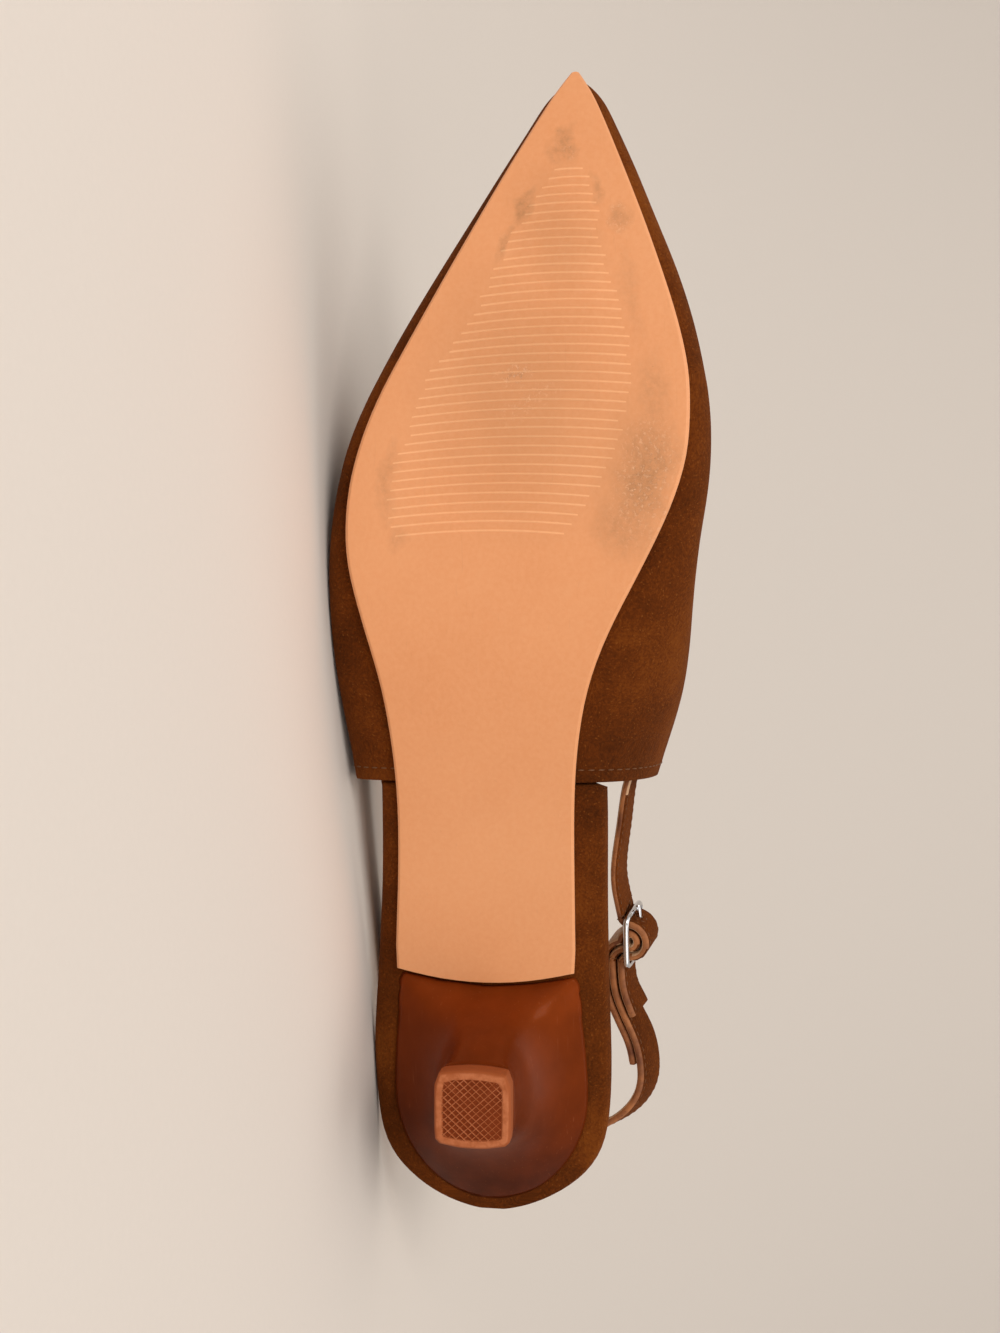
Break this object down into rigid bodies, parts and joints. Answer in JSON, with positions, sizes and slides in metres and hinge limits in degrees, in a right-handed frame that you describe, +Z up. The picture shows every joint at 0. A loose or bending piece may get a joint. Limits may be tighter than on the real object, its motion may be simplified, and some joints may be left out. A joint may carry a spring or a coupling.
{
  "type": "slingback kitten heel shoe",
  "caption": "Pointed slingback shoe with a low sculpted heel, a buckled strap behind the foot and a thin ribbed sole, lying on its outer side.",
  "frame": {"origin": "middle of the bounding box seen from above, on the floor plane", "axes": "metres; +X from the toe towards the back of the heel, +Y from the sole towards the instep, +Z up from the floor that the outer side lies on; right-handed"},
  "size_m": [0.2764, 0.0614, 0.0911],
  "materials": {
    "sole_rubber": "fine ribbed, satin, lightly scuffed",
    "suede": "napped suede",
    "strap_suede": "napped suede with pale cut edges",
    "heel_gloss": "polished",
    "tip_rubber": "knurled, matt",
    "buckle_metal": "polished"
  },
  "bodies": {
    "root": {"outsole": "sole_rubber", "upper": "suede", "footbed": "suede", "heel": "heel_gloss", "heel_tip": "tip_rubber", "sling_strap": "strap_suede", "buckle_strap": "strap_suede", "buckle_frame": "buckle_metal", "buckle_prong": "buckle_metal"}
  },
  "joints": []
}
